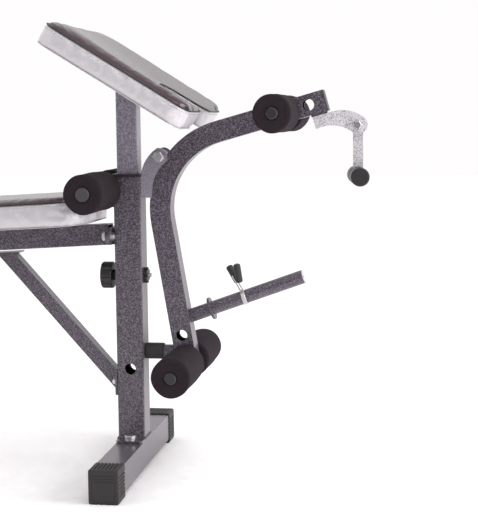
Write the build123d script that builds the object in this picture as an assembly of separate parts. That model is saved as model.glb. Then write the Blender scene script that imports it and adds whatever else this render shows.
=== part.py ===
"""Adjustable weight bench with a preacher pad, a leg and curl lever, and a folding backrest.

Modelled about the foot of the front post: +X forward, +Y to the user's left, +Z up.
The last step moves everything so that the origin is the centre of the footprint on the floor.
"""
import os
from math import cos, radians, sin

from build123d import *

# Front stand
post = 50.0
post_wall = 3.0
tube_bottom = 8.0
plate = 5.0
foot_length = 480.0
foot_top = tube_bottom + post
post_bottom = foot_top + plate
post_top = 547.0
front = post / 2
base_bolt_y = 38.0
cross_hole = 10.5
cross_hole_z = 193.0
lock_z = 365.0
lock_rod = 4.0

# Rubber foot caps
cap_length = 48.0
cap_skin = 1.6
cap_height = 61.0
rib_pitch = 6.6
rib_half = 1.4
side_rib_depth = 1.2
top_rib_depth = 1.6
tooth_depth = 3.0

# Main beam: its own frame starts on the post's rear face and slopes down to the rear
beam = 38.0
beam_wall = 2.0
beam_half = beam / 2
beam_z = 442.0
beam_tilt = 3.0
beam_end = -1000.0
beam_face = -37.5
lug_plate = 4.0
lug_radius = 15.5
lug_y = 31.0
beam_bolt_y = 33.5
beam_bolt_z = 439.0
beam_at = Pos(-front, 0, beam_z) * Rot(0, -beam_tilt, 0)

# Diagonal brace
brace = 25.0
brace_angle = 48.6
brace_foot_z = 166.0
brace_gap = 7.0

# Rear stand
rear_x = -900.0

# Seat, in the beam's frame
seat_front = -34.0
seat_rear = -332.0
seat_bottom = 26.0
seat_top = 77.0
seat_nose = 70.0
pad_half = 125.0
board = 12.0

# Backrest and its prop, in the beam's frame
hinge_u = -370.0
hinge_w = 31.0
back_front = -400.0
back_rear = -1040.0
back_bottom = 41.0
back_top = 76.0
back_board = 10.0
rail = 20.0
rail_in = 28.0
prop_reach = 290.0
prop_leg = 18.0
pin = 5.0
notch_angles = (25, 40, 55, 70)

# Telescopic preacher post and pad; the pad's frame slopes down to the front
inner = 38.0
inner_wall = 2.0
inner_bottom = 226.0
lift = 120.0
drop = 20.0
pad_z = 711.1
pad_slope = 31.8
pad_width = 350.0
pad_rear = -143.0
pad_front = 147.0
pad_thick = 48.0
notch_start = 52.0
notch_in = 24.0
notch_out = 38.0
pad_at = Pos(0, 0, pad_z) * Rot(0, pad_slope, 0)

# Lever: one bent square tube, turning on the ears of the post
pivot = (60.0, 583.0)
lever = 38.0
lever_wall = 2.5
bend_centre = (204.0, 488.0)
bend_radius = 144.0
lever_lean = 9.4
arm_rise = 15.5
lower_length = 288.0
arm_length = 201.0
lower_roller = (104.0, 205.0)
upper_roller = (284.0, 658.0)
post_roller = (-44.0, 523.0)
lever_hole = (96.2, 256.0)
arm_hole = (331.0, 672.7)
bumper_z = 224.0

# Weight post on the lever
horn_start = (112.0, 291.0)
horn_angle = 19.5
horn_length = 222.0
horn = 12.5
stop_at = 40.0
clip_at = 104.0
clip_seat = 4.5
clip_wire_radius = 1.1

# Foam rollers
bar = 10.0
bar_wall = 2.0
roller_half = 168.0
running = 0.08

# Curl handle
curl_bolt = (418.0, 636.5)
curl_drop = 90.5
curl_yaw = 7.0
grip = 16.5
grip_half = 60.0

ear_in = 20.0
ear_out = 24.0
ear_head = 15.8


def box(x, y, z):
    """Box between pairs of limits along X, Y and Z."""
    centre = Pos((x[0] + x[1]) / 2, (y[0] + y[1]) / 2, (z[0] + z[1]) / 2)
    return centre * Box(abs(x[1] - x[0]), abs(y[1] - y[0]), abs(z[1] - z[0]))


def along_y(x, z, radius, y0, y1):
    """Round bar along Y from y0 to y1."""
    return Pos(x, (y0 + y1) / 2, z) * Rot(90, 0, 0) * Cylinder(radius, abs(y1 - y0))


def along_x(z, radius, x0, x1):
    """Round bar along X in the middle plane."""
    return Pos((x0 + x1) / 2, 0, z) * Rot(0, 90, 0) * Cylinder(radius, abs(x1 - x0))


def group(*solids):
    """Several separate solids in one node."""
    return Compound([solid for part in solids for solid in part.solids()])


def hexagon(flats, height):
    """Hexagonal prism on the XY plane."""
    return extrude(RegularPolygon(flats / 2, 6, major_radius=False), height)


def hex_bolt(thread, length, flats, washer, nut_at=None):
    """Hex bolt, head up, whose washer sits on z = 0; a nut's top face is at z = -nut_at."""
    thick = 1.6
    head = Pos(0, 0, thick) * hexagon(flats, 1.45 * thread)
    head = chamfer(head.faces().sort_by(Axis.Z)[-1].edges(), 0.8)
    shank = Pos(0, 0, (thick - length) / 2) * Cylinder(thread, thick + length)
    ring = Pos(0, 0, thick / 2) * (Cylinder(washer, thick) - Cylinder(thread, thick))
    pieces = [head + shank, ring]
    if nut_at is not None:
        height = 1.6 * thread
        nut = hexagon(flats, height) - Pos(0, 0, height / 2) * Cylinder(thread, height)
        pieces.append(Pos(0, 0, -nut_at - height) * nut)
    return group(*pieces)


def bolt_across(x, z, thread, flats, washer, half):
    """Hex bolt along Y with its head on the right side and its nut on the left, clamping +-half."""
    bolt = hex_bolt(thread, 2 * half + 2.2 * thread, flats, washer, nut_at=2 * half)
    return Pos(x, -half, z) * Rot(90, 0, 0) * bolt


def mirrored(solid):
    """The solid and its mirror image across the middle plane."""
    return group(solid, solid.mirror(Plane.XZ))


def profile(points, y0, y1):
    """Polygon of X, Z points, extruded from y0 to y1."""
    face = make_face(Polyline(*[(x, 0, z) for x, z in points], close=True))
    return Pos(0, y1, 0) * extrude(face, y1 - y0, dir=(0, -1, 0))


# Stands

def foot_cap(x):
    """Ribbed rubber cap on the right end of a foot tube."""
    y0 = -foot_length / 2
    y1 = y0 + cap_length
    half = front + cap_skin
    body = box((x - half, x + half), (y0, y1), (0, cap_height))
    body = fillet(body.edges().filter_by(Axis.Y), 4)
    body = chamfer(body.faces().sort_by(Axis.Y)[0].edges(), 1.5)
    pocket = box((x - front, x + front), (y0 + 12, y1 + 1), (tube_bottom, foot_top))
    return body - cap_grooves(x, y0, y1) - cap_relief(x, y0) - pocket


def cap_grooves(x, y0, y1):
    """Grooves along the cap: teeth underneath, ribs on the top and the sides."""
    half = front + cap_skin
    middle = cap_height / 2
    grooves = []
    for i in (-3, -2, -1, 0, 1, 2):
        across = x + (i + 0.5) * rib_pitch
        limits = (across - rib_half, across + rib_half)
        grooves.append(box(limits, (y0 - 1, y1 + 1), (-1, tooth_depth)))
        grooves.append(box(limits, (y0 + 5, y1 + 1), (cap_height - top_rib_depth, cap_height + 1)))
        up = middle + (i + 0.5) * rib_pitch
        for side in (x - half, x + half):
            limits = (side - side_rib_depth, side + side_rib_depth)
            grooves.append(box(limits, (y0 + 5, y1 + 1), (up - rib_half, up + rib_half)))
    return grooves


def cap_relief(x, y0):
    """Shallow lines moulded in the cap's end face: a panel and two bars above it."""
    line = 0.5
    wide = front - 5
    low, high = 6, 40
    depth = (y0 - 1, y0 + line)
    lines = [box((x - wide, x + wide), depth, (z - line, z + line)) for z in (low, high, 45, 50)]
    lines += [box((x + side - line, x + side + line), depth, (low, high)) for side in (-wide, wide)]
    return lines


def foot_tube(x):
    """Cross tube that lies on the floor's rubber caps."""
    half = foot_length / 2 - 12
    outer = box((x - front, x + front), (-half, half), (tube_bottom, foot_top))
    inside = (x - front + post_wall, x + front - post_wall)
    tube = outer - box(inside, (-half, half), (tube_bottom + post_wall, foot_top - post_wall))
    holes = [Pos(x, side * base_bolt_y, foot_top) * Cylinder(5, 12) for side in (-1, 1)]
    return tube - holes


def base_plate(x):
    """Plate under a post, bolted to the foot tube."""
    base = box((x - front, x + front), (-49, 49), (foot_top, post_bottom))
    base = fillet(base.edges().filter_by(Axis.Z), 6)
    return base - [Pos(x, side * base_bolt_y, foot_top) * Cylinder(5, 12) for side in (-1, 1)]


def base_bolts(x):
    """The two bolts that hold a post to its foot."""
    bolt = hex_bolt(5, 18, 17, 9.5, nut_at=plate + post_wall)
    return group(*[Pos(x, side * base_bolt_y, post_bottom) * bolt for side in (-1, 1)])


def front_post():
    """Outer post with the lock bolt's hole, the spare roller hole and the brace bolts' holes."""
    inside = front - post_wall
    tube = box((-front, front), (-front, front), (post_bottom, post_top))
    tube = fillet(tube.edges().filter_by(Axis.Z), 3)
    tube -= box((-inside, inside), (-inside, inside), (post_bottom, post_top))
    tube -= along_x(lock_z, lock_rod + 0.3, -30, 30)
    tube -= along_y(0, cross_hole_z, cross_hole, -30, 30)
    return tube - brace_holes()


def post_collar(ears):
    """Plastic guide bush in the post's mouth, with its front tab, notched round the ears."""
    rim = box((-28, 28), (-26.5, 26.5), (post_top, post_top + 5))
    rim = fillet(rim.edges().filter_by(Axis.Z), 4)
    inside = front - post_wall
    sleeve = box((-inside, inside), (-inside, inside), (post_top - 30, post_top))
    tab = box((front, 28), (-15, 15), (post_top - 10, post_top))
    guide = inner / 2 + 0.3
    collar = rim + sleeve + tab - box((-guide, guide), (-guide, guide), (post_top - 31, post_top + 6))
    return collar - ears


def around(centre, radius, angle):
    """Point of a circle in the X, Z plane, at an angle above +X."""
    return (centre[0] + radius * cos(radians(angle)), centre[1] + radius * sin(radians(angle)))


def hinge_ear():
    """Right ear plate of the lever's pivot, welded to the post's front face."""
    root = front + 2
    low, middle, high = [around(pivot, ear_head, angle) for angle in (-50, 20, 100)]
    with BuildSketch(Plane.XZ) as outline:
        with BuildLine():
            Polyline((root, 552), (root, 545), (front, 545), (front, 512))
            Polyline((front, 512), (root, 512), (root, 509), (45.5, 509), (47, 527))
            ThreePointArc((47, 527), (54, 551), low)
            ThreePointArc(low, middle, high)
            ThreePointArc(high, (37.5, 579), (root, 552))
        make_face()
    ear = Pos(0, -ear_in, 0) * extrude(outline.sketch, ear_out - ear_in)
    return ear - along_y(*pivot, pin, -30, 0)


def lug_shape(x0, x1):
    """Upright plate across the beam, with a round lug at each side, drilled for its two bolts."""
    solid = box((x0, x1), (-lug_y, lug_y), (beam_bolt_z - lug_radius, beam_bolt_z + lug_radius))
    for side in (-1, 1):
        solid += Pos((x0 + x1) / 2, side * lug_y, beam_bolt_z) * Rot(0, 90, 0) * Cylinder(lug_radius, x1 - x0)
    for side in (-1, 1):
        solid -= Pos(x0, side * beam_bolt_y, beam_bolt_z) * Rot(0, 90, 0) * Cylinder(4, 40)
    return solid


def post_lugs():
    """Lug plate on the post's rear face, with its spacer."""
    plate_front = beam_face + 2 * lug_plate
    spacer = box((plate_front, -front), (-20, 20), (beam_bolt_z - lug_radius, beam_bolt_z + lug_radius))
    return lug_shape(beam_face + lug_plate, plate_front) + spacer


def beam_bolt():
    """The two bolts that clamp the beam's lug plate to the post's."""
    bolt = hex_bolt(4, 2 * lug_plate + 8, 13, 8.7, nut_at=2 * lug_plate)
    return group(*[Pos(beam_face, side * beam_bolt_y, beam_bolt_z) * Rot(0, -90, 0) * bolt for side in (-1, 1)])


def main_beam():
    """Square beam that carries the seat and the backrest, with the lug plate on its front end."""
    inside = beam_half - beam_wall
    tube = box((beam_end, 0), (-beam_half, beam_half), (-beam_half, beam_half))
    tube = fillet(tube.edges().filter_by(Axis.X), 2.5)
    tube -= box((beam_end, 0), (-inside, inside), (-inside, inside))
    tube = beam_at * tube & box((-1100, beam_face), (-100, 100), (0, 600))
    return tube + lug_shape(beam_face, beam_face + lug_plate)


def beam_end_cap():
    """Plug in the rear end of the main beam."""
    inside = beam_half - beam_wall
    face = box((beam_end - 5, beam_end), (-beam_half, beam_half), (-beam_half, beam_half))
    face = fillet(face.faces().sort_by(Axis.X)[0].edges(), 3)
    plug = box((beam_end, beam_end + 20), (-inside, inside), (-inside, inside))
    return beam_at * (face + plug)


def diagonal_brace():
    """Square brace from the post to the beam, with a plate at each end."""
    at = Pos(-front, 0, brace_foot_z) * Rot(0, brace_angle + 180, 0)
    half = brace / 2
    core = half - 1.5
    solid = at * (box((-60, 400), (-half, half), (-half, half)) - box((-60, 400), (-core, core), (-core, core)))
    solid &= box((-700, -front - 4), (-100, 100), (0, 900))
    solid &= beam_at * box((-700, 50), (-100, 100), (-700, -beam_half - brace_gap))
    solid += box((-front - 4, -front), (-25, 25), (brace_foot_z - 22, brace_foot_z + 28))
    under = -beam_half - brace_gap
    flange = box((-266, -186), (-18, 18), (under, under + 2.5))
    spacer = box((-266, -236), (-16, 16), (under, -beam_half))
    return solid + beam_at * (flange + spacer) - brace_holes()


def brace_bolt_at(side):
    """Place of a brace bolt, under its head."""
    return Pos(-front - 4, side * 18.5, brace_foot_z + 3) * Rot(0, -90, 0)


def brace_holes():
    """Clearance for the two bolts in the brace's lower plate."""
    return [brace_bolt_at(side) * Cylinder(3, 20) for side in (-1, 1)]


def brace_bolts():
    """The two bolts in the brace's lower plate."""
    bolt = hex_bolt(3, 10, 10, 5.5)
    return group(*[brace_bolt_at(side) * bolt for side in (-1, 1)])


def roller_saddle():
    """Sleeve behind the post for the fixed roller's bar."""
    x, z = post_roller
    sleeve = along_y(x, z, 14, -25, 25) + box((x, -front), (-18, 18), (z - 10, z + 10))
    return sleeve - along_y(x, z, bar + running, -30, 30)


def rear_leg():
    """Rear upright, cut to the beam's slope, with its top flange."""
    inside = front - post_wall
    tube = box((rear_x - front, rear_x + front), (-front, front), (post_bottom, 600))
    tube = fillet(tube.edges().filter_by(Axis.Z), 3)
    tube -= box((rear_x - inside, rear_x + inside), (-inside, inside), (post_bottom, 600))
    tube &= beam_at * box((-1200, 0), (-100, 100), (-700, -beam_half - 4))
    middle = rear_x + front
    flange = box((middle - 40, middle + 40), (-front, front), (-beam_half - 4, -beam_half))
    return tube + beam_at * flange


# Upholstery

def cushion(x, half, z, corner, base, nose):
    """Upholstered block with a pocket for its board and rounded edges on top."""
    solid = rounded_block(x, half, z, corner, nose)
    solid = fillet(solid.faces().sort_by(Axis.Z)[-1].edges(), 6)
    return solid - panel(x, half, (z[0] - 1, z[0] + base), corner, nose)


def rounded_block(x, half, z, corner, nose):
    """Block with its rear corners rounded to one radius and its front corners to another."""
    solid = box(x, (-half, half), z)
    uprights = solid.edges().filter_by(Axis.Z).sort_by(Axis.X)
    solid = fillet(uprights[:2], corner)
    return fillet(solid.edges().filter_by(Axis.Z).sort_by(Axis.X)[-2:], nose)


def panel(x, half, z, corner, nose):
    """Board under a cushion, a little smaller all round."""
    inset = 4
    return rounded_block((x[0] + inset, x[1] - inset), half - inset, z, corner - inset, nose - inset)


def seat_pad():
    """Seat cushion, relieved under the post roller."""
    solid = beam_at * cushion((seat_rear, seat_front), pad_half, (seat_bottom, seat_top), 38, board, seat_nose)
    return solid - along_y(*post_roller, 37.5, -200, 200)


def seat_board():
    """Plywood under the seat."""
    return beam_at * panel((seat_rear, seat_front), pad_half, (seat_bottom, seat_bottom + board), 38, seat_nose)


def seat_brackets():
    """Two flat bars between the beam and the seat board."""
    bars = [box((u - 15, u + 15), (-95, 95), (beam_half, seat_bottom)) for u in (-90, -265)]
    return beam_at * group(*bars)


def backrest_pad():
    """Backrest cushion."""
    return beam_at * cushion((back_rear, back_front), pad_half, (back_bottom, back_top), 38, back_board, 38)


def backrest_board():
    """Plywood under the backrest."""
    top = back_bottom + back_board
    return beam_at * panel((back_rear, back_front), pad_half, (back_bottom, top), 38, 38)


def notch(start, inside, outside, z):
    """Cutter for the preacher pad's notch, open to the front and flared."""
    end = pad_front + 40
    flare = (outside - inside) / (pad_front - start) * (end - start) + inside
    corners = ((start + inside, inside), (end, flare), (end, -flare), (start + inside, -inside))
    face = make_face(Polyline(*corners, close=True))
    throat = Pos(start + inside, 0, 0) * Circle(inside)
    return Pos(0, 0, z[0]) * extrude(face + throat, z[1] - z[0])


def preacher_pad():
    """Preacher cushion: two arm rests with a notch for the lever between them."""
    half = pad_width / 2
    solid = box((pad_rear, pad_front), (-half, half), (0, pad_thick))
    solid = fillet(solid.edges().filter_by(Axis.Z), 30)
    solid -= notch(notch_start, notch_in, notch_out, (-5, pad_thick + 5))
    tips = [edge for edge in solid.edges().filter_by(Axis.Z)
            if abs(edge.center().X - pad_front) < 1 and abs(edge.center().Y) < 60]
    solid = fillet(tips, 24)
    solid = fillet(solid.faces().sort_by(Axis.Z)[-1].edges(), 6)
    return pad_at * (solid - preacher_panel((-1, board)))


def preacher_panel(z):
    """Outline of the preacher board, smaller than its cushion all round."""
    inset = 5
    half = pad_width / 2 - inset
    solid = box((pad_rear + inset, pad_front - inset), (-half, half), z)
    solid = fillet(solid.edges().filter_by(Axis.Z), 25)
    return solid - notch(notch_start - inset, notch_in + inset, notch_out + inset, (-5, 60))


def preacher_board():
    """Plywood under the preacher cushion."""
    solid = preacher_panel((0, board))
    tips = [edge for edge in solid.edges().filter_by(Axis.Z)
            if edge.center().X > pad_front - 8 and abs(edge.center().Y) < 60]
    return pad_at * fillet(tips, 20)


# Preacher post and lock

def inner_post():
    """Inner tube with a long slot for the lock bolt, cut to the pad's slope."""
    half = inner / 2
    core = half - inner_wall
    tube = box((-half, half), (-half, half), (inner_bottom, 800))
    tube = fillet(tube.edges().filter_by(Axis.Z), 2.5)
    tube -= box((-core, core), (-core, core), (inner_bottom, 800))
    slot_half = lock_rod + 0.5
    tube -= box((-30, 30), (-slot_half, slot_half), (lock_z - lift - 5, lock_z + drop + 5))
    return tube & pad_at * box((-200, 200), (-100, 100), (-700, -4))


def pad_bracket():
    """Sloping plate welded on the inner post."""
    top = box((-75, 45), (-60, 60), (-4, 0))
    return pad_at * fillet(top.edges().filter_by(Axis.Z), 8)


def lock_knob():
    """Fluted hand knob behind the post."""
    radius = 24.5
    body = along_x(lock_z, radius, -54, -33)
    body = fillet(body.edges(), 2.5)
    flutes = []
    for i in range(12):
        angle = radians(30 * i)
        y = (radius + 2) * sin(angle)
        z = lock_z + (radius + 2) * cos(angle)
        flutes.append(Pos(-43.5, y, z) * Rot(0, 90, 0) * Cylinder(4.2, 40))
    hub = along_x(lock_z, 10, -33, -front - 0.4)
    return body - flutes + hub - along_x(lock_z, lock_rod, -48, 0)


def lock_rod_piece():
    """Threaded rod of the knob, right through the post."""
    rod = along_x(lock_z, lock_rod, -48, 38)
    return chamfer(rod.faces().sort_by(Axis.X)[-1].edges(), 0.8)


def lock_nut():
    """Lobed nut on the post's front face."""
    body = along_x(lock_z, 11, front, 32)
    for i in range(6):
        angle = radians(60 * i)
        body += Pos(28.5, 10 * sin(angle), lock_z + 10 * cos(angle)) * Rot(0, 90, 0) * Cylinder(4.5, 7)
    return body - along_x(lock_z, lock_rod + 0.06, 20, 40)


# Lever

def bent_bar(half, extra=0.0):
    """Square bar along the lever's centre line: lower leg, bend and arm."""
    cx, cz = bend_centre
    low = Pos(cx, 0, cz) * Rot(0, -lever_lean, 0) * Pos(-bend_radius, 0, 0)
    leg = low * box((-half, half), (-half, half), (-lower_length - extra, 0))
    high = Pos(cx, 0, cz) * Rot(0, -arm_rise, 0) * Pos(0, 0, bend_radius)
    arm = high * box((0, arm_length + extra), (-half, half), (-half, half))
    section = Pos(cx, 0, cz) * Rot(0, -lever_lean, 0) * Pos(-bend_radius, 0, 0) * Rectangle(2 * half, 2 * half)
    turn = revolve(section, Axis((cx, 0, cz), (0, 1, 0)), 90 - arm_rise + lever_lean)
    return leg + turn + arm


def lever_tube(outer):
    """Bent square tube with its pivot bush, bumper stub and bracket spacer welded on."""
    tube = outer - bent_bar(lever / 2 - lever_wall, 5)
    tube += lever_bush(outer)
    tube += bumper_stub(outer)
    tube += arm_spacer()
    for x, z in (lower_roller, upper_roller):
        tube -= along_y(x, z, bar + running, -30, 30)
    for x, z in (lever_hole, arm_hole):
        tube -= along_y(x, z, cross_hole, -30, 30)
    return tube


def lever_bush(outer):
    """Pivot bush welded behind the bend."""
    bush = along_y(*pivot, 13, -ear_in + 0.3, ear_in - 0.3) - along_y(*pivot, pin + running, -30, 30)
    return bush - outer


def along_horn(radius, s0, s1):
    """Round bar along the weight post, between two distances from its root."""
    at = Pos(horn_start[0], 0, horn_start[1]) * Rot(0, 90 - horn_angle, 0)
    return at * Pos(0, 0, (s0 + s1) / 2) * Cylinder(radius, s1 - s0)


def weight_post(outer):
    """Horn for weight plates, with the shallow seat that the clip's coil rubs in it."""
    tube = along_horn(horn, -12, horn_length - 3) - along_horn(horn - 2.5, -12, horn_length)
    seat = along_horn(horn + 1, clip_at - clip_seat, clip_at + clip_seat)
    return tube - (seat - along_horn(horn - 0.2, 0, horn_length)) - outer


def weight_stop():
    """Stop disc on the horn."""
    return along_horn(21, stop_at - 2, stop_at + 2) - along_horn(horn, 0, 80)


def weight_post_cap():
    """Plug in the horn's free end."""
    disc = along_horn(horn, horn_length - 3, horn_length)
    disc = fillet(disc.edges().filter_by(GeomType.CIRCLE).sort_by(Axis.X)[-1], 1)
    return disc + along_horn(horn - 2.5, horn_length - 18, horn_length - 3)


def bumper_stub(outer):
    """Stub on the back of the lever that carries the bumper."""
    return along_x(bumper_z, 12, 38, 100) - outer


def bumper_cap():
    """Rubber bumper that meets the post."""
    cap = along_x(bumper_z, 15, front + 0.4, 60)
    cap = fillet(cap.edges(), 2)
    return cap - along_x(bumper_z, 12, 38, 61)


def arm_end_cap():
    """Flat plug in the arm's end."""
    at = Pos(bend_centre[0], 0, bend_centre[1]) * Rot(0, -arm_rise, 0) * Pos(0, 0, bend_radius)
    half = lever / 2
    core = half - lever_wall
    face = box((arm_length, arm_length + 3), (-half, half), (-half, half))
    face = fillet(face.faces().sort_by(Axis.X)[-1].edges(), 1)
    return at * (face + box((arm_length - 12, arm_length), (-core, core), (-core, core)))


def arm_spacer():
    """Spacer welded between the arm and the curl bracket."""
    at = Pos(bend_centre[0], 0, bend_centre[1]) * Rot(0, -arm_rise, 0) * Pos(0, 0, bend_radius)
    return at * box((171, 200), (-13, 13), (-lever / 2 - 3.5, -lever / 2))


def curl_bracket(spacer):
    """Two curved cheeks joined by a web, hanging under the arm's end."""
    top, middle, low = [around(curl_bolt, 16.5, angle) for angle in (55, -15, -110)]
    with BuildSketch(Plane.XZ) as outline:
        with BuildLine():
            Polyline((344, 630), (337.5, 651), (367, 659))
            ThreePointArc((367, 659), (397, 662.5), top)
            ThreePointArc(top, middle, low)
            ThreePointArc(low, (383, 635), (344, 630))
        make_face()
    cheek = Pos(0, -10, 0) * extrude(outline.sketch, 3) - along_y(*curl_bolt, 4, -20, 20)
    web = profile([(344, 630), (337.5, 651), (340.5, 651.8), (347, 630.6)], -10, 10)
    return group(cheek + web + cheek.mirror(Plane.XZ) - spacer)


def curl_bolt_set():
    """Bolt of the curl handle, with its spacer rings."""
    x, z = curl_bolt
    ring = along_y(x, z, 7, -9.9, -2.7) - along_y(x, z, 4, -10, -2)
    return group(bolt_across(x, z, 4, 13, 7.5, 13), ring, ring.mirror(Plane.XZ))


def grip_at():
    """Frame of the grip: its Z axis is the grip's own axis."""
    x, z = curl_bolt
    return Pos(x, 0, z - curl_drop) * Rot(0, 0, curl_yaw) * Rot(90, 0, 0)


def curl_strap():
    """Hanging strap with the grip's rod welded across its lower end."""
    x, z = curl_bolt
    strap = box((x - 9, x + 9), (-2.5, 2.5), (z - curl_drop, z)) + along_y(x, z, 9, -2.5, 2.5)
    strap -= along_y(x, z, 4 + running, -5, 5)
    return strap + grip_at() * Cylinder(6, 2 * grip_half - 8)


def curl_grips():
    """Two hand grips that turn on the rod."""
    sleeve = Pos(0, 0, (grip_half + 4.2) / 2) * Cylinder(grip, grip_half - 4.2)
    sleeve = fillet(sleeve.faces().sort_by(Axis.Z)[-1].edges(), 2.5)
    sleeve -= Pos(0, 0, (grip_half - 3) / 2) * Cylinder(6 + running, grip_half - 3)
    return grip_at() * group(sleeve, Rot(180, 0, 0) * sleeve)


# Rollers and clip

def roller_bar(x, z):
    """Tube that carries two foam rollers."""
    inside = bar - bar_wall
    return along_y(x, z, bar, -roller_half, roller_half) - along_y(x, z, inside, -roller_half, roller_half)


def roller_foam(x, z, radius, inside):
    """Right-hand foam roller."""
    foam = along_y(x, z, radius, -roller_half, -inside)
    foam = fillet(foam.edges().filter_by(GeomType.CIRCLE), 4)
    return foam - along_y(x, z, bar, -roller_half, -inside)


def roller_caps(x, z, radius):
    """Plugs in both ends of a roller's bar."""
    disc = along_y(x, z, radius, -roller_half - 3, -roller_half)
    disc = fillet(disc.faces().sort_by(Axis.Y)[0].edges(), 2)
    return mirrored(disc + along_y(x, z, bar - bar_wall, -roller_half, -roller_half + 15))


def clip_spring():
    """Coiled wire of the spring clip, with its two legs."""
    at = Pos(horn_start[0], 0, horn_start[1]) * Rot(0, 90 - horn_angle, 0) * Pos(0, 0, clip_at)
    wire = clip_wire_radius
    ring = horn + 0.1 + wire
    pitch = 1.85 * wire
    coil = Torus(ring, wire)
    for turn in (-1, 1):
        coil += Pos(0, 0, pitch * turn) * Torus(ring, wire)
    for side in (-1, 1):
        root = Vector(-ring + 0.6, 0, pitch * side)
        tip = Vector(-44, 9 * side, -6 * side)
        coil += clip_wire(root, tip, wire)
    return at * coil


def clip_wire(root, tip, radius):
    """Straight wire between two points."""
    along = tip - root
    middle = (root + tip) * 0.5
    return Plane(origin=middle, z_dir=along) * Cylinder(radius, along.length)


def clip_grips():
    """Moulded thumb grips on the clip's legs."""
    at = Pos(horn_start[0], 0, horn_start[1]) * Rot(0, 90 - horn_angle, 0) * Pos(0, 0, clip_at)
    grips = []
    for side in (-1, 1):
        root = Vector(-29, 5.3 * side, -2.2 * side)
        tip = Vector(-62, 14.5 * side, -10 * side)
        tab = clip_wire(root, tip, 6.5)
        grips.append(fillet(tab.edges().filter_by(GeomType.CIRCLE), 3))
    return at * group(*grips) - clip_spring()


# Backrest

def backrest_rails():
    """Two rails under the backrest, tied by a cross bar, drilled for the hinge and the prop."""
    half = rail / 2
    rail_solid = box((back_rear + 30, hinge_u), (-rail_in - rail, -rail_in), (hinge_w - half, hinge_w + half))
    rail_solid += along_y(hinge_u, hinge_w, half, -rail_in - rail, -rail_in)
    rail_solid -= along_y(hinge_u, hinge_w, pin + running, -60, 0)
    rail_solid -= along_y(hinge_u - prop_reach, hinge_w, pin, -60, 0)
    tie = box((back_rear + 30, back_rear + 50), (-rail_in, rail_in), (hinge_w - half, hinge_w + half))
    return beam_at * (rail_solid + tie + rail_solid.mirror(Plane.XZ))


def hinge_bracket():
    """Plates on the beam's sides that carry the backrest's hinge pin."""
    ear = box((hinge_u - 22, hinge_u + 22), (-ear_out, -beam_half), (-12, 12))
    ear += profile([(hinge_u - 22, 12), (hinge_u + 22, 12), (hinge_u + 9, hinge_w), (hinge_u - 9, hinge_w)],
                   -ear_out, -beam_half)
    ear += along_y(hinge_u, hinge_w, 9.5, -ear_out, -beam_half)
    ear -= along_y(hinge_u, hinge_w, pin, -40, 0)
    return beam_at * mirrored(ear)


def hinge_pin():
    """Headed pin of the backrest hinge."""
    shank = along_y(hinge_u, hinge_w, pin, -52, 52)
    heads = along_y(hinge_u, hinge_w, 8, -52, -49) + along_y(hinge_u, hinge_w, 8, 49, 52)
    return beam_at * (shank + heads)


def prop_pin():
    """Headed pin that joins the prop to the rails."""
    u = hinge_u - prop_reach
    shank = along_y(u, hinge_w, pin, -52, 52)
    heads = along_y(u, hinge_w, 8, -52, -49) + along_y(u, hinge_w, 8, 49, 52)
    return beam_at * (shank + heads)


def backrest_prop():
    """U-shaped prop: two flat legs and the foot rod that drops into the ladder."""
    u = hinge_u - prop_reach
    half = prop_leg / 2
    leg = box((u - prop_reach, u), (-26, -20), (hinge_w - half, hinge_w + half))
    leg += along_y(u, hinge_w, half, -26, -20) + along_y(u - prop_reach, hinge_w, half, -26, -20)
    leg -= along_y(u, hinge_w, pin + running, -40, 0)
    foot = along_y(u - prop_reach, hinge_w, 6, -20, 20)
    return beam_at * (leg + foot + leg.mirror(Plane.XZ))


def prop_ladder():
    """Two notched strips on the beam that catch the prop's foot."""
    top = hinge_w - 6.6
    strip = box((-918, -548), (-16, -8), (beam_half, top))
    for angle in notch_angles:
        u = hinge_u - 2 * prop_reach * cos(radians(angle))
        strip -= along_y(u, top + 1.4, 6.5, -20, 0)
    return beam_at * mirrored(strip)


def backrest_rest():
    """Cross plate on the beam where the flat backrest lands."""
    return beam_at * box((beam_end, beam_end + 35), (-50, 50), (beam_half, hinge_w - rail / 2 - 0.2))


# Whole bench

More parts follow.
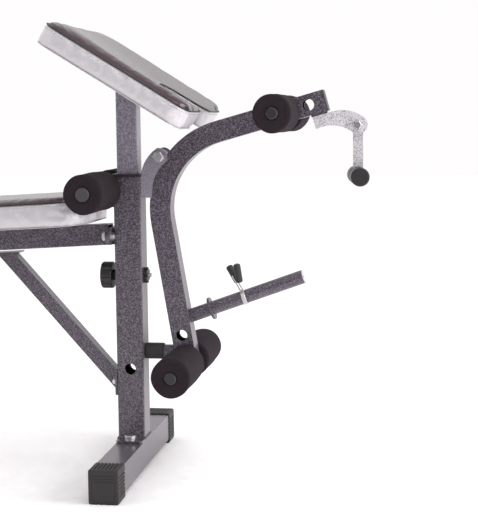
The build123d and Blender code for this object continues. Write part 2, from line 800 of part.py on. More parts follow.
def build():
    """Every node of the bench, about the front post's foot."""
    outer = bent_bar(lever / 2)
    ears = mirrored(hinge_ear())
    nodes = {
        "front_post": front_post(),
        "post_collar": post_collar(ears),
        "hinge_ears": ears,
        "pivot_bolt": bolt_across(*pivot, 5, 17, 10, ear_out),
        "post_brackets": group(post_lugs(), roller_saddle()),
        "beam_bolt": beam_bolt(),
        "main_beam": main_beam(),
        "beam_end_cap": beam_end_cap(),
        "diagonal_brace": diagonal_brace(),
        "brace_bolts": brace_bolts(),
        "lock_nut": lock_nut(),
        "rear_leg": rear_leg(),
        "seat_brackets": seat_brackets(),
        "seat_board": seat_board(),
        "seat_pad": seat_pad(),
        "backrest_brackets": group(hinge_bracket(), backrest_rest()),
        "hinge_pin": hinge_pin(),
        "prop_ladder": prop_ladder(),
        "inner_post": inner_post(),
        "pad_bracket": pad_bracket(),
        "preacher_board": preacher_board(),
        "preacher_pad": preacher_pad(),
        "lock_knob": lock_knob(),
        "lock_rod": lock_rod_piece(),
        "lever_tube": lever_tube(outer),
        "weight_post": weight_post(outer),
        "weight_stop": weight_stop(),
        "weight_post_cap": weight_post_cap(),
        "bumper_cap": bumper_cap(),
        "arm_end_cap": arm_end_cap(),
        "curl_bracket": curl_bracket(arm_spacer()),
        "curl_bolt": curl_bolt_set(),
        "curl_strap": curl_strap(),
        "curl_grips": curl_grips(),
        "clip_spring": clip_spring(),
        "clip_grips": clip_grips(),
        "backrest_rails": backrest_rails(),
        "backrest_board": backrest_board(),
        "backrest_pad": backrest_pad(),
        "prop_pin": prop_pin(),
        "backrest_prop": backrest_prop(),
    }
    nodes["base_plates"] = group(base_plate(0), base_plate(rear_x))
    nodes["base_bolts"] = group(base_bolts(0), base_bolts(rear_x))
    for name, x in (("front", 0), ("rear", rear_x)):
        nodes[name + "_foot"] = foot_tube(x)
        nodes[name + "_foot_caps"] = mirrored(foot_cap(x))
    rollers = {
        "lower": (lower_roller, 35, 23, 9.6),
        "upper": (upper_roller, 33, 23, 9.6),
        "post": (post_roller, 35, 29, 12.2),
    }
    for name, (place, radius, inside, cap_radius) in rollers.items():
        foam = roller_foam(*place, radius, inside)
        nodes[name + "_roller_bar"] = roller_bar(*place)
        nodes[name + "_roller_foams"] = mirrored(foam)
        nodes[name + "_roller_caps"] = roller_caps(*place, cap_radius)
    return nodes


def centred(nodes):
    """The nodes moved so that the origin is the bottom centre of the whole, and the move itself."""
    whole = Compound([solid for node in nodes.values() for solid in node.solids()]).bounding_box()
    move = Pos(-(whole.min.X + whole.max.X) / 2, 0, -whole.min.Z)
    return {name: move * node for name, node in nodes.items()}, move


def main():
    """Write one STEP file per node."""
    os.makedirs("parts", exist_ok=True)
    nodes, move = centred(build())
    for name, node in nodes.items():
        export_step(node, f"parts/{name}.step")
    print(len(nodes), "nodes, moved by", move.position.X)


if __name__ == "__main__":
    main()
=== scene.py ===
# Adjustable weight bench: finishes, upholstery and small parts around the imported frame, in metres
import math

import bmesh
import bpy
from mathutils import Matrix, Vector
from mathutils.bvhtree import BVHTree


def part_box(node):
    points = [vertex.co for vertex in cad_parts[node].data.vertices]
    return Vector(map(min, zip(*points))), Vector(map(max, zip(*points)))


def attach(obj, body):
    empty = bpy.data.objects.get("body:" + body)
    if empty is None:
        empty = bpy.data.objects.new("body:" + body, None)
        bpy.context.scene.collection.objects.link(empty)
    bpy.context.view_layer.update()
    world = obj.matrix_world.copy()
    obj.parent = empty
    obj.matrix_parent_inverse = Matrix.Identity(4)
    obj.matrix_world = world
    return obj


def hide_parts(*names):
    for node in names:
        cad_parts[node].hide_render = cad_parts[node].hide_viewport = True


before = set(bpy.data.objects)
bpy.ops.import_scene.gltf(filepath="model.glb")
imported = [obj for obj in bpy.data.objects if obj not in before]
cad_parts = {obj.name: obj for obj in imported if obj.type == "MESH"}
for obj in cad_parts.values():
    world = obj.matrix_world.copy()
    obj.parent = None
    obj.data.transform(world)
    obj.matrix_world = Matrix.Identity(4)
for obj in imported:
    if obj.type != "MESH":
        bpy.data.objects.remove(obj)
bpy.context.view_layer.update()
print("frame loaded:", len(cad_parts), "nodes")

scene = bpy.context.scene
mm = 0.001
postLow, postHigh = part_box("front_post")
postFoot = Vector(((postLow.x + postHigh.x) / 2, 0, 0))  # floor point under the front post


def at(x, y, z):
    # a point given in millimetres from the front post's foot
    return postFoot + Vector((x, y, z)) * mm


# camera

camera = {
    "ahead": 554.31, "aside": -2349.06, "height": 651.98,
    "yaw": 8.55, "pitch": 6.25, "roll": -0.65, "lens": 90.42,
}


def makeCamera():
    yaw, pitch, roll = (math.radians(camera[k]) for k in ("yaw", "pitch", "roll"))
    view = Vector((-math.sin(yaw) * math.cos(pitch), math.cos(yaw) * math.cos(pitch), -math.sin(pitch)))
    right = view.cross(Vector((0, 0, 1))).normalized()
    up = right.cross(view)
    side = math.cos(roll) * right + math.sin(roll) * up
    top = math.cos(roll) * up - math.sin(roll) * right
    data = bpy.data.cameras.new("camera")
    data.lens = camera["lens"]
    data.clip_end = 50
    made = bpy.data.objects.new("camera", data)
    scene.collection.objects.link(made)
    turn = Matrix((side, top, -view)).transposed().to_4x4()
    made.matrix_world = Matrix.Translation(at(camera["ahead"], camera["aside"], camera["height"])) @ turn
    scene.camera = made


makeCamera()
print("camera placed")


# shader maths and finishes

class Value:
    # a socket that takes part in sums: each operator adds a Math node
    def __init__(self, finish, socket):
        self.finish = finish
        self.socket = socket

    def sum(self, operation, first, second):
        return self.finish.node("Math", {"operation": operation}, {0: first, 1: second})

    def __add__(self, other):
        return self.sum("ADD", self, other)

    def __mul__(self, other):
        return self.sum("MULTIPLY", self, other)

    __radd__ = __add__
    __rmul__ = __mul__


class Finish:
    # one material; node() adds any node and surface() closes it
    def __init__(self, name):
        self.material = bpy.data.materials.new(name)
        self.material.use_nodes = True
        self.tree = self.material.node_tree
        self.tree.nodes.clear()
        self.place = self.node("TexCoord", {}, {}, "Object")

    def node(self, kind, settings, sockets, output=0):
        made = self.tree.nodes.new("ShaderNode" + kind)
        for setting, value in settings.items():
            if setting == "stops":
                self.setStops(made.color_ramp, value)
            else:
                setattr(made, setting, value)
        for name, value in sockets.items():
            socket = self.pick(made.inputs, name)
            if isinstance(value, Value):
                self.tree.links.new(value.socket, socket)
            else:
                socket.default_value = value
        return None if output is None else Value(self, self.pick(made.outputs, output))

    def pick(self, sockets, name):
        if isinstance(name, int):
            return sockets[name]
        return next(s for s in sockets if s.name == name and s.enabled)

    def setStops(self, ramp, stops):
        while len(ramp.elements) < len(stops):
            ramp.elements.new(1.0)
        for element, (position, shade) in zip(ramp.elements, stops):
            element.position = position
            element.color = (*shade, 1) if isinstance(shade, tuple) else (shade, shade, shade, 1)

    def noise(self, scale, detail=2.0, rough=0.5, place=None):
        return self.node("TexNoise", {}, {
            "Vector": place or self.place, "Scale": scale, "Detail": detail, "Roughness": rough})

    def cells(self, scale, feature="F1", place=None):
        return self.node("TexVoronoi", {"feature": feature}, {"Vector": place or self.place, "Scale": scale})

    def turned(self, degrees=(0, 0, 0), scale=(1, 1, 1)):
        return self.node("Mapping", {}, {
            "Vector": self.place, "Rotation": [math.radians(d) for d in degrees], "Scale": scale})

    def ramp(self, value, *stops):
        return self.node("ValToRGB", {"stops": stops}, {"Fac": value})

    def mix(self, factor, first, second, blend="MIX"):
        return self.node("Mix", {"data_type": "RGBA", "blend_type": blend}, {
            "Factor": factor, "A": opaque(first), "B": opaque(second)}, "Result")

    def bump(self, height, strength, distance, under=None):
        sockets = {"Height": height, "Strength": strength, "Distance": distance}
        if under is not None:
            sockets["Normal"] = under
        return self.node("Bump", {}, sockets)

    def surface(self, sockets):
        sockets["Base Color"] = opaque(sockets["Base Color"])
        shader = self.node("BsdfPrincipled", {}, sockets)
        self.node("OutputMaterial", {}, {"Surface": shader}, None)
        return self.material


def opaque(shade):
    return (*shade, 1) if isinstance(shade, tuple) and len(shade) == 3 else shade


paint = {
    "dark": {"deep": (0.025, 0.018, 0.027), "middle": (0.082, 0.064, 0.088), "flake": (0.26, 0.225, 0.28)},
    "grey": {"deep": (0.13, 0.118, 0.15), "middle": (0.27, 0.245, 0.3), "flake": (0.5, 0.46, 0.54)},
    "silver": {"deep": (0.22, 0.2, 0.22), "middle": (0.72, 0.69, 0.73), "flake": (0.78, 0.76, 0.79)},
}


def hammertone(name, shades):
    # hammered powder coat: fine flakes over shallow dimples
    f = Finish(name)
    flakes = f.noise(500, 3, 0.7)
    drift = f.noise(22, 2)
    colour = f.ramp(flakes, (0.37, shades["deep"]), (0.5, shades["middle"]), (0.65, shades["flake"]))
    colour = f.mix(drift * 0.25, colour, shades["middle"])
    dimples = f.cells(330, "SMOOTH_F1")
    normal = f.bump(dimples, 0.35, 0.0006, f.bump(flakes, 0.18, 0.0003))
    return f.surface({
        "Base Color": colour, "Roughness": 0.34 + flakes * 0.2, "Metallic": 0.15,
        "Coat Weight": 0.45, "Coat Roughness": 0.2, "Normal": normal})


def plated(name, shade, rough):
    # zinc or chrome plate with faint turning marks
    f = Finish(name)
    smudge = f.noise(60, 3, 0.6)
    marks = f.noise(1800, 1, 0.5)
    colour = f.mix(smudge, shade, tuple(s * 0.72 for s in shade))
    return f.surface({
        "Base Color": colour, "Roughness": rough + smudge * 0.15, "Metallic": 1.0,
        "Normal": f.bump(marks, 0.08, 0.0001)})


def moulded(name, shade, rough, grain, depth):
    # moulded plastic or rubber with a fine spark-eroded grain
    f = Finish(name)
    fine = f.noise(grain, 2, 0.6)
    worn = f.noise(45, 4, 0.6)
    colour = f.mix(worn * 0.6, shade, tuple(s * 1.7 + 0.004 for s in shade))
    return f.surface({
        "Base Color": colour, "Roughness": rough + fine * 0.15, "Normal": f.bump(fine, depth, 0.0004)})


def foamed(name, shade):
    # open-cell roller foam: pores of two sizes and a dusty bloom
    f = Finish(name)
    pores = f.cells(620, "F1")
    lumps = f.noise(260, 3, 0.6)
    bloom = f.noise(30, 3, 0.55)
    colour = f.mix(lumps, tuple(s * 0.55 for s in shade), tuple(s * 1.55 for s in shade))
    colour = f.mix(bloom * 0.35, colour, tuple(s * 1.9 for s in shade))
    normal = f.bump(pores, 0.5, 0.0007, f.bump(lumps, 0.4, 0.0009))
    return f.surface({
        "Base Color": colour, "Roughness": 0.95, "Specular IOR Level": 0.12, "Normal": normal})


def vinyl(name, shade, rough, metallic=0.0, coat=0.0, tint=(1, 1, 1)):
    # upholstery vinyl: pebbled leather grain with faint creases
    f = Finish(name)
    pebble = f.cells(820, "DISTANCE_TO_EDGE")
    crease = f.noise(90, 4, 0.6)
    tone = f.noise(14, 3, 0.5)
    colour = f.mix(tone * 0.5, shade, tuple(s * 0.82 for s in shade))
    colour = f.mix(f.ramp(pebble, (0.0, 0.35), (0.12, 0.0)), colour, tuple(s * 0.6 for s in shade))
    normal = f.bump(pebble, 0.22, 0.0002, f.bump(crease, 0.25, 0.0008))
    return f.surface({
        "Base Color": colour, "Roughness": rough + crease * 0.12, "Metallic": metallic, "Coat Weight": coat,
        "Coat Roughness": 0.18, "Specular Tint": (*tint, 1), "Normal": normal})


def plywood(name, slope):
    # birch ply: long grain on the faces, stacked veneers on the edges
    f = Finish(name)
    level = f.turned((0, slope, 0))
    grain = f.noise(1.0, 4, 0.6, f.turned((0, slope, 0), (18, 210, 60)))
    height = f.node("SeparateXYZ", {}, {"Vector": level}, "Z")
    veneer = f.node("Math", {"operation": "SINE"}, {0: height * 4200.0}) * 0.5 + 0.5
    colour = f.ramp(grain, (0.3, (0.42, 0.26, 0.13)), (0.55, (0.6, 0.41, 0.23)), (0.8, (0.69, 0.5, 0.31)))
    colour = f.mix(veneer * 0.22, colour, (0.32, 0.2, 0.11))
    return f.surface({"Base Color": colour, "Roughness": 0.7, "Normal": f.bump(grain, 0.3, 0.0004)})


def wovenCloth(name, shade):
    # thin non-woven cover under a cushion
    f = Finish(name)
    fibres = f.noise(900, 3, 0.7)
    dots = f.cells(480, "F1")
    colour = f.mix(fibres, shade, tuple(s * 2.2 for s in shade))
    return f.surface({"Base Color": colour, "Roughness": 0.95, "Normal": f.bump(dots, 0.5, 0.0004)})


finishes = {
    "hammertone": hammertone("hammertone", paint["dark"]),
    "hammertone_silver": hammertone("hammertone_silver", paint["silver"]),
    "greyTube": hammertone("hammertone_grey", paint["grey"]),
    "chrome": plated("chrome", (0.86, 0.84, 0.86), 0.28),
    "roller_steel": plated("roller_steel", (0.42, 0.4, 0.41), 0.35),
    "black_plastic": moulded("black_plastic", (0.016, 0.014, 0.016), 0.38, 1200, 0.15),
    "grey_plastic": moulded("grey_plastic", (0.045, 0.04, 0.047), 0.42, 1200, 0.12),
    "black_foam": foamed("black_foam", (0.022, 0.016, 0.02)),
    "black_rubber": moulded("black_rubber", (0.022, 0.019, 0.021), 0.55, 700, 0.3),
    "vinyl": vinyl("vinyl_silver", (0.72, 0.69, 0.725), 0.3, 0.2),
    "vinylTop": vinyl("vinyl_black", (0.05, 0.033, 0.039), 0.22, 0.0, 0.25, (1.0, 0.78, 0.86)),
    "piping": vinyl("vinyl_piping", (0.012, 0.01, 0.011), 0.4),
    "thread": moulded("thread", (0.28, 0.26, 0.28), 0.8, 2500, 0.4),
    "under": wovenCloth("under_cloth", (0.012, 0.012, 0.013)),
    "plywood": plywood("plywood", 3.0),
    "plywoodSteep": plywood("plywood_preacher", -31.8),
}


def finishNodes():
    # each CAD node gets the finish of its record slot
    for name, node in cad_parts.items():
        slot = node.material_slots[0]
        slot.material = finishes[slot.material.name.split(".")[0]]
    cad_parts["preacher_board"].material_slots[0].material = finishes["plywoodSteep"]
    special = {
        "inner_post": "greyTube", "hinge_ears": "greyTube", "lower_roller_caps": "black_plastic",
        "upper_roller_caps": "black_plastic", "weight_post_cap": "hammertone_silver"}
    for name, finish in special.items():
        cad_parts[name].material_slots[0].material = finishes[finish]


finishNodes()
print("finishes made:", len(finishes))


# pieces: shared helpers

def toObject(name, bm, *materials):
    mesh = bpy.data.meshes.new(name)
    bm.to_mesh(mesh)
    bm.free()
    return linked(name, mesh, *materials)


def linked(name, mesh, *materials):
    made = bpy.data.objects.new(name, mesh)
    scene.collection.objects.link(made)
    mesh.materials.clear()
    for material in materials:
        mesh.materials.append(material)
    for face in mesh.polygons:
        face.use_smooth = True
    return made


def settled(source):
    # the object's mesh with its modifiers worked in
    return bpy.data.meshes.new_from_object(source.evaluated_get(bpy.context.evaluated_depsgraph_get()))


def tube(name, points, radii, material, closed=False, sides=3):
    # a round wire along points, whose radius may change from point to point
    curve = bpy.data.curves.new(name, "CURVE")
    curve.dimensions = "3D"
    curve.bevel_depth = 1.0
    curve.bevel_resolution = sides
    curve.use_fill_caps = True
    spline = curve.splines.new("POLY")
    spline.points.add(len(points) - 1)
    for knot, point, radius in zip(spline.points, points, radii):
        knot.co = (*point, 1)
        knot.radius = radius
    spline.use_cyclic_u = closed
    wire = bpy.data.objects.new(name + "_line", curve)
    scene.collection.objects.link(wire)
    mesh = settled(wire)
    bpy.data.objects.remove(wire)
    bpy.data.curves.remove(curve)
    return linked(name, mesh, material)


def finished(piece, body, slot, *nodes):
    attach(piece, body)
    if nodes:
        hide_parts(*nodes)
    return piece


# upholstered pads

preacherPad = {
    "slope": 31.8, "rise": 711.1, "voxel": 4.5, "height": 35.0, "corner": 30.0,
    "rear": -143.0, "front": 147.0, "half": 175.0,
    "notchStart": 50.0, "notchIn": 24.0, "notchOut": 38.0, "tip": 22.0,
    "crown": 6.0, "roll": 7.5, "flat": 0.085, "bulge": 2.0, "ease": 14, "pressure": 4.0, "looseness": 0.012,
}
seatPad = {
    "slope": 3.0, "voxel": 4.5, "bottom": 26.0, "height": 43.0, "corner": 38.0, "nose": 70.0,
    "rear": -332.0, "front": -34.0, "half": 125.0,
    "crown": 4.0, "roll": 5.0, "bulge": 2.0, "ease": 8, "pressure": 4.0, "looseness": 0.012,
}
backPad = {
    "slope": 3.0, "voxel": 6.0, "bottom": 41.0, "height": 29.0, "corner": 38.0, "nose": 38.0,
    "rear": -1040.0, "front": -400.0, "half": 125.0,
    "crown": 4.0, "roll": 3.0, "bulge": 2.0, "ease": 5, "pressure": 4.0, "looseness": 0.01,
}
trim = {
    "piping": 1.3, "stitch": 3.0, "thread": 0.42, "pitch": 5.2, "below": 6.5,
    "margin": 24.0, "cover": 0.8, "coverInset": 1.5, "coverStep": 12, "probe": 10, "beadSink": 0.6,
}
sewing = {
    "step": 4, "cornerCuts": 12, "hold": 4.2, "base": 3, "sink": 2, "topBand": 1.2, "rollWidth": 5,
    "easeFrom": 4, "domeBand": 3, "domeWidth": 22, "fill": 0.85, "relief": 36.2, "throatGap": 0.4,
}
fabric = {"quality": 4, "mass": 0.25, "stretch": 12, "shear": 6, "bending": 0.4, "frames": 20}


def evenEdges(bm, step):
    for edge in list(bm.edges):
        cuts = int(edge.calc_length() / (step * mm))
        if cuts:
            bmesh.ops.subdivide_edges(bm, edges=[edge], cuts=cuts)


def outline(corners, step):
    # flat face on z = 0 with its corners rounded and its edges cut to even steps
    bm = bmesh.new()
    points = [bm.verts.new((x * mm, y * mm, 0)) for x, y, rounding in corners]
    bm.faces.new(points)
    for vert, (x, y, rounding) in zip(points, corners):
        bmesh.ops.bevel(
            bm, geom=[vert], offset=rounding * mm, affect="VERTICES", segments=sewing["cornerCuts"],
            profile=0.5, material=-1)
    evenEdges(bm, step)
    bmesh.ops.recalc_face_normals(bm, faces=bm.faces)
    if bm.faces[:][0].normal.z < 0:
        bmesh.ops.reverse_faces(bm, faces=bm.faces)
    return bm


def block(bm, height):
    # the outline raised to a closed block
    made = bmesh.ops.extrude_face_region(bm, geom=list(bm.faces), use_keep_orig=True)
    risen = [v for v in made["geom"] if isinstance(v, bmesh.types.BMVert)]
    bmesh.ops.translate(bm, verts=risen, vec=(0, 0, height * mm))
    bmesh.ops.recalc_face_normals(bm, faces=bm.faces)
    return bm


def remeshed(source, voxel):
    shrink = source.modifiers.new("even", "REMESH")
    shrink.mode = "VOXEL"
    shrink.voxel_size = voxel * mm
    shrink.use_smooth_shade = True
    mesh = settled(source)
    source.modifiers.clear()
    source.data = mesh
    return source


def seamTree(seam, height):
    # search tree of the seam line, laid at a height
    lines = [(i, (i + 1) % len(seam), (i + 1) % len(seam)) for i in range(len(seam))]
    return BVHTree.FromPolygons([(p.x, p.y, height * mm) for p in seam], lines)


def holdSeams(source, seam, height):
    # the bottom and the sewn edge stay put while the panels between them swell
    tree = seamTree(seam, height)
    held = source.vertex_groups.new(name="held")
    for vert in source.data.vertices:
        nearSeam = tree.find_nearest(vert.co)[3] < sewing["hold"] * mm
        if vert.co.z < sewing["base"] * mm or nearSeam:
            held.add([vert.index], 1.0, "REPLACE")


def swell(source, pad):
    # cloth under pressure, with the distance each point may move capped
    start = [v.co.copy() for v in source.data.vertices]
    cloth = source.modifiers.new("swell", "CLOTH")
    settings = cloth.settings
    settings.quality = fabric["quality"]
    settings.mass = fabric["mass"]
    settings.tension_stiffness = settings.compression_stiffness = fabric["stretch"]
    settings.shear_stiffness = fabric["shear"]
    settings.bending_stiffness = fabric["bending"]
    settings.use_pressure = True
    settings.uniform_pressure_force = pad["pressure"]
    settings.effector_weights.gravity = 0
    settings.vertex_group_mass = "held"
    settings.shrink_min = -pad["looseness"]
    cloth.point_cache.frame_start = 1
    cloth.point_cache.frame_end = fabric["frames"]
    for number in range(1, fabric["frames"] + 1):
        scene.frame_set(number)
    mesh = settled(source)
    source.modifiers.clear()
    for vert, before in zip(mesh.vertices, start):
        move = vert.co - before
        flat = Vector((move.x, move.y, 0))
        if flat.length > pad["bulge"] * mm:
            flat *= pad["bulge"] * mm / flat.length
        rise = max(-sewing["sink"] * mm, min(move.z, pad["crown"] * mm))
        vert.co = before + flat + Vector((0, 0, rise))
    source.data = eased(mesh, pad)
    scene.frame_set(1)


def eased(mesh, pad):
    # stretched vinyl: sharp creases on the top are pulled smooth
    bm = bmesh.new()
    bm.from_mesh(mesh)
    top = [v for v in bm.verts if v.co.z > (pad["height"] + sewing["easeFrom"]) * mm]
    for _ in range(pad["ease"]):
        bmesh.ops.smooth_vert(bm, verts=top, factor=0.5, use_axis_z=True)
    bm.to_mesh(mesh)
    bm.free()
    return mesh


def rolled(mesh, pad):
    # the top rolls up steeply from the outer seam, and stays low round the notch
    notch = [Vector((pad["notchStart"], 0, 0)), Vector((pad["front"], 0, 0))] if "notchIn" in pad else []
    for vert in mesh.vertices:
        if vert.co.z < (pad["height"] - sewing["topBand"]) * mm:
            continue
        spot = Vector((vert.co.x, vert.co.y, 0)) / mm
        rim = max(0, min(spot.x - pad["rear"], pad["front"] - spot.x, pad["half"] - abs(spot.y)))
        rise = max(0, vert.co.z / mm - pad["height"])
        rise += pad["roll"] * (1 - math.exp(-rim / sewing["rollWidth"]))
        if notch:
            near = min(max((spot.x - notch[0].x) / (notch[1].x - notch[0].x), 0), 1)
            gap = (spot - notch[0].lerp(notch[1], near)).length - pad["notchIn"] - near * (
                pad["notchOut"] - pad["notchIn"])
            rise = min(rise, pad["flat"] * max(gap, 0))
        vert.co.z = (pad["height"] + rise) * mm


def seamPath(bm):
    return [v.co.copy() for v in bm.faces[:][0].verts]


def clearOf(centre, radius, point):
    # a point inside a round bar along Y moves out to its surface
    away = Vector((point.x - centre.x, 0, point.z - centre.z))
    if away.length >= radius or away.length < 1e-6:
        return point
    return point + away.normalized() * (radius - away.length)


def stitches(name, surface, seam, pad, spot):
    # a dashed row of thread just below the seam, laid on the boxing
    bm = bmesh.new()
    lengths = [0.0]
    for a, b in zip(seam, seam[1:] + seam[:1]):
        lengths.append(lengths[-1] + (b - a).length)
    count = int(lengths[-1] / (trim["pitch"] * mm))
    segment = 0
    for number in range(count):
        along = (number + 0.5) * lengths[-1] / count
        while lengths[segment + 1] < along:
            segment += 1
        a, b = seam[segment], seam[(segment + 1) % len(seam)]
        share = (along - lengths[segment]) / (b - a).length
        tangent = (b - a).normalized()
        outward = Vector((tangent.y, -tangent.x, 0))
        flat = a.lerp(b, share)
        probe = Vector((flat.x, flat.y, (pad["height"] - trim["below"]) * mm)) + outward * trim["probe"] * mm
        hit = surface.ray_cast(probe, -outward)
        if hit[0] is None:
            continue
        turn = Matrix((tangent, outward, Vector((0, 0, 1)))).transposed().to_4x4()
        size = Matrix.Diagonal((trim["stitch"] / 2 * mm, trim["thread"] * mm, trim["thread"] * mm, 1))
        bmesh.ops.create_icosphere(
            bm, subdivisions=1, radius=1.0, matrix=spot @ Matrix.Translation(hit[0]) @ turn @ size)
    return toObject(name, bm, finishes["thread"])


def underside(name, corners, spot):
    # turned-in vinyl margin and dust cover below the board
    bm = outline(corners, trim["coverStep"])
    bmesh.ops.inset_region(bm, faces=list(bm.faces), thickness=trim["coverInset"] * mm, use_even_offset=True)
    rim = [f for f in bm.faces if len(f.verts) == 4]
    bmesh.ops.delete(bm, geom=rim, context="FACES")
    ring = bmesh.ops.inset_region(
        bm, faces=list(bm.faces), thickness=trim["margin"] * mm, use_even_offset=True)
    for face in bm.faces:
        face.material_index = 0 if face in ring["faces"] else 1
    for vert in list(bm.verts):
        if not vert.link_faces:
            bm.verts.remove(vert)
    solid = bmesh.ops.extrude_face_region(bm, geom=list(bm.faces), use_keep_orig=True)
    moved = [v for v in solid["geom"] if isinstance(v, bmesh.types.BMVert)]
    bmesh.ops.translate(bm, verts=moved, vec=(0, 0, -trim["cover"] * mm))
    bmesh.ops.recalc_face_normals(bm, faces=bm.faces)
    bmesh.ops.transform(bm, matrix=spot, verts=bm.verts)
    return toObject(name, bm, finishes["vinyl"], finishes["under"])


def makePad(name, pad, corners, spot, body, node, relief=None):
    print("pad:", name)
    bm = outline(corners, sewing["step"])
    seam = seamPath(bm)
    cushion = toObject(name, block(bm, pad["height"]), finishes["vinyl"], finishes["vinylTop"])
    remeshed(cushion, pad["voxel"])
    holdSeams(cushion, seam, pad["height"])
    swell(cushion, pad)
    cushion.vertex_groups.clear()
    rolled(cushion.data, pad)
    cushion.data.materials.clear()
    cushion.data.materials.append(finishes["vinyl"])
    cushion.data.materials.append(finishes["vinylTop"])
    for face in cushion.data.polygons:
        face.use_smooth = True
        face.material_index = 1 if face.center.z > (pad["height"] - sewing["topBand"]) * mm else 0
    flatTree = BVHTree.FromPolygons(
        [v.co for v in cushion.data.vertices], [tuple(f.vertices) for f in cushion.data.polygons])
    cushion.data.transform(spot)
    bead = [spot @ Vector((p.x, p.y, (pad["height"] - trim["beadSink"]) * mm)) for p in seam]
    thread = stitches(name + "_stitches", flatTree, seam, pad, spot)
    if relief:
        for vert in [*cushion.data.vertices, *thread.data.vertices]:
            vert.co = clearOf(*relief, vert.co)
        bead = [clearOf(*relief, p) for p in bead]
    smoother = cushion.modifiers.new("smoother", "SUBSURF")
    smoother.levels = smoother.render_levels = 1
    radii = [trim["piping"] * mm] * len(bead)
    piping = tube(name + "_piping", bead, radii, finishes["piping"], closed=True)
    cover = underside(name + "_underside", corners, spot)
    finished(cushion, body, "vinyl", node)
    for part in (thread, piping, cover):
        finished(part, body, "vinyl")


def preacherCorners():
    pad = preacherPad
    right = [
        (pad["rear"], -pad["half"], pad["corner"]),
        (pad["front"], -pad["half"], pad["corner"]),
        (pad["front"], -pad["notchOut"], pad["tip"]),
        (pad["notchStart"], -pad["notchIn"], pad["notchIn"] - sewing["throatGap"])]
    return right + [(x, -y, rounding) for x, y, rounding in reversed(right)]


def plainCorners(pad):
    rear, front, half = pad["rear"], pad["front"], pad["half"]
    right = [(rear, -half, pad["corner"]), (front, -half, pad["nose"])]
    return right + [(x, -y, rounding) for x, y, rounding in reversed(right)]


def sloped(origin, slope):
    return Matrix.Translation(origin) @ Matrix.Rotation(math.radians(slope), 4, "Y")


beamSpot = sloped(at(-25, 0, 442), -seatPad["slope"])
preacherSpot = sloped(at(0, 0, preacherPad["rise"]), preacherPad["slope"])


def raised(spot, pad):
    return spot @ Matrix.Translation((0, 0, pad["bottom"] * mm))


rollerLow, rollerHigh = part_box("post_roller_bar")
rollerCentre = (rollerLow + rollerHigh) / 2
makePad("preacher_cushion", preacherPad, preacherCorners(), preacherSpot, "preacher", "preacher_pad")
makePad("seat_cushion", seatPad, plainCorners(seatPad), raised(beamSpot, seatPad), "frame", "seat_pad",
        relief=(rollerCentre, sewing["relief"] * mm))
makePad("back_cushion", backPad, plainCorners(backPad), raised(beamSpot, backPad), "backrest", "backrest_pad")


# foam rollers

roller = {
    "lower": {"radius": 35.0, "inside": 23.0, "dish": 1.5},
    "upper": {"radius": 33.0, "inside": 23.0, "dish": 1.5},
    "post": {"radius": 35.0, "inside": 29.0, "dish": 1.5},
    "outside": 168.0, "edge": 5.0, "edgeCuts": 5, "bore": 9.9, "dishFrom": 0.55, "step": 8, "around": 64,
    "lumps": ((0.35, 3, 40), (0.25, 5, -63)),
}


def makeFoam(name, which, side, body, node):
    # a turned foam tube: its section is spun about the bar
    values = roller[which]
    low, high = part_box(which + "_roller_bar")
    centre = (low + high) / 2
    bm = bmesh.new()
    inside, outside = values["inside"] * mm, roller["outside"] * mm
    section = [
        (roller["bore"], inside), (values["radius"], inside), (values["radius"], outside),
        (values["radius"] * roller["dishFrom"], outside - values["dish"] * mm),
        (roller["bore"], outside - values["dish"] * mm)]
    ring = [bm.verts.new((radius * mm, y * side, 0)) for radius, y in section]
    bm.faces.new(ring)
    bmesh.ops.bevel(
        bm, geom=ring[1:3], offset=roller["edge"] * mm, affect="VERTICES", segments=roller["edgeCuts"],
        profile=0.5, material=-1)
    evenEdges(bm, roller["step"])
    edges = list(bm.edges)
    bmesh.ops.delete(bm, geom=list(bm.faces), context="FACES_ONLY")
    bmesh.ops.spin(
        bm, geom=edges, cent=(0, 0, 0), axis=(0, 1, 0), angle=2 * math.pi, steps=roller["around"],
        use_merge=True)
    bmesh.ops.remove_doubles(bm, verts=bm.verts, dist=1e-6)
    bmesh.ops.recalc_face_normals(bm, faces=bm.faces)
    for vert in bm.verts:
        # slight lumps, as cut foam has
        outward = Vector((vert.co.x, 0, vert.co.z))
        reach = outward.length / (values["radius"] * mm)
        angle = math.atan2(vert.co.z, vert.co.x)
        waves = [size * math.sin(count * angle + twist * vert.co.y) for size, count, twist in roller["lumps"]]
        lump = sum(waves)
        vert.co += outward.normalized() * lump * mm * reach
    bmesh.ops.translate(bm, verts=bm.verts, vec=(centre.x, 0, centre.z))
    foam = toObject(name, bm, finishes["black_foam"])
    finished(foam, body, "black_foam", node)


for which, body in (("lower", "lower_roller"), ("upper", "upper_roller"), ("post", "post_roller")):
    for word, side in (("right", -1), ("left", 1)):
        makeFoam(f"{which}_foam_{word}", which, side, body, which + "_roller_foams")
print("foam rollers made")


# spring clip

clip = {
    "start": (112, 291), "angle": 19.5, "at": 104.0, "wire": 1.15, "gap": 0.15,
    "turns": 2.85, "pitch": 2.5, "horn": 12.5, "steps": 28,
    "legs": ((-44.0, -9.0, -6.0), (-44.0, 9.0, -6.0)),
}


def hornSpot(along):
    angle = math.radians(clip["angle"])
    x, z = clip["start"]
    centre = at(x + along * math.cos(angle), 0, z + along * math.sin(angle))
    return Matrix.Translation(centre) @ Matrix.Rotation(math.pi / 2 - angle, 4, "Y")


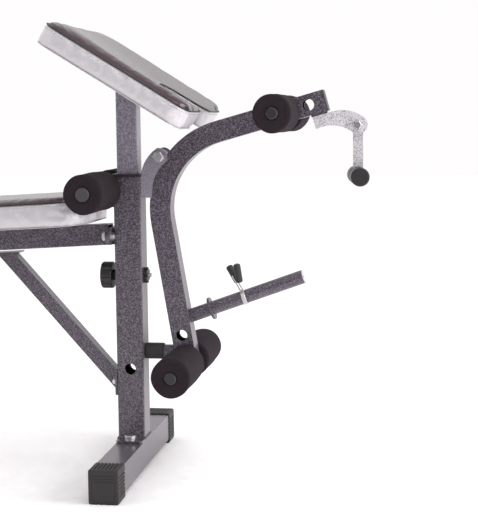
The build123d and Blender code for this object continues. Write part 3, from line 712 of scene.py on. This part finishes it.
def makeClip():
    # wound wire: a leg, almost three turns about the horn, and the other leg
    ring = clip["horn"] + clip["gap"] + clip["wire"]
    half = clip["turns"] * math.pi
    steps = int(clip["turns"] * clip["steps"])
    points = []
    for number in range(steps + 1):
        turn = -half + 2 * half * number / steps
        height = clip["pitch"] * turn / (2 * math.pi)
        points.append(Vector((-ring * math.cos(turn + math.pi), ring * math.sin(turn + math.pi), height)))
    first, last = clip["legs"]
    points = [Vector(first), *points, Vector(last)]
    spot = hornSpot(clip["at"])
    radii = [clip["wire"] * mm] * len(points)
    wire = tube("clip_coil", [spot @ (p * mm) for p in points], radii, finishes["chrome"])
    finished(wire, "clip", "chrome", "clip_spring")


makeClip()
print("clip wound")


# weld beads

weld = {"radius": 2.3, "ripple": 0.45, "step": 2.6, "rear": -900.0}


def beadPath(corners):
    # even steps along a broken line of millimetre points
    points = []
    for first, second in zip(corners, corners[1:]):
        a, b = Vector(first), Vector(second)
        steps = max(2, int((b - a).length / weld["step"]))
        points += [a.lerp(b, number / steps) for number in range(steps)]
    return points + [Vector(corners[-1])]


def makeWeld(name, corners, body, closed=False):
    points = beadPath(corners)
    if closed:
        points.pop()
    radii = [(weld["radius"] + weld["ripple"] * (-1) ** number) * mm for number in range(len(points))]
    bead = tube(name, [at(*p) for p in points], radii, finishes["hammertone"], closed)
    finished(bead, body, "hammertone")


for word, x in (("front", 0.0), ("rear", weld["rear"])):
    square = [(x - 25, -25, 63), (x + 25, -25, 63), (x + 25, 25, 63), (x - 25, 25, 63), (x - 25, -25, 63)]
    makeWeld(word + "_post_weld", square, "frame", closed=True)
for word, side in (("right", -1), ("left", 1)):
    makeWeld("ear_weld_" + word, [(25.5, 22 * side, 513), (25.5, 22 * side, 543)], "frame")
    makeWeld("bush_weld_" + word, [(66, 15 * side, 570), (69, 15 * side, 578)], "lever")
    makeWeld("spacer_weld_" + word, [(-25.5, 20 * side, 425), (-25.5, 20 * side, 453)], "frame")
print("welds laid")


# studio

studio = {
    "floor": (0.9, 0.89, 0.89), "world": (1.0, 0.985, 0.99), "worldStrength": 1.0,
    "key": {"place": (1.4, -2.2, 2.6), "size": 1.2, "power": 14},
    "side": {"place": (3.0, -0.5, 1.3), "size": 1.4, "power": 42},
    "card": {"place": (0.5, -3.4, 1.0), "wide": 5.0, "high": 2.6, "shade": (0.01, 0.01, 0.011)},
}


def makeStudio():
    bm = bmesh.new()
    bmesh.ops.create_grid(bm, x_segments=1, y_segments=1, size=12)
    floor = toObject("floor", bm, moulded("floor_paint", studio["floor"], 0.8, 60, 0.02))
    world = bpy.data.worlds.new("studio")
    world.use_nodes = True
    back = world.node_tree.nodes["Background"]
    back.inputs["Color"].default_value = (*studio["world"], 1)
    back.inputs["Strength"].default_value = studio["worldStrength"]
    scene.world = world
    card = studio["card"]
    bm = bmesh.new()
    stand = Matrix.Translation(card["place"]) @ Matrix.Rotation(math.radians(90), 4, "X")
    size = Matrix.Diagonal((card["wide"] / 2, card["high"] / 2, 1, 1))
    bmesh.ops.create_grid(bm, x_segments=1, y_segments=1, size=1, matrix=stand @ size)
    screen = toObject("dark_card", bm, moulded("card_cloth", card["shade"], 0.9, 60, 0.02))
    screen.visible_camera = False  # only its reflection and its shade matter
    for name in ("key", "side"):
        light = studio[name]
        data = bpy.data.lights.new(name, "AREA")
        data.shape = "SQUARE"
        data.size = light["size"]
        data.energy = light["power"]
        lamp = bpy.data.objects.new(name, data)
        scene.collection.objects.link(lamp)
        place = Vector(light["place"])
        aim = at(60, 0, 450) - place
        lamp.matrix_world = Matrix.Translation(place) @ aim.to_track_quat("-Z", "Y").to_matrix().to_4x4()
    scene.view_settings.view_transform = "Standard"


makeStudio()
print("studio ready")
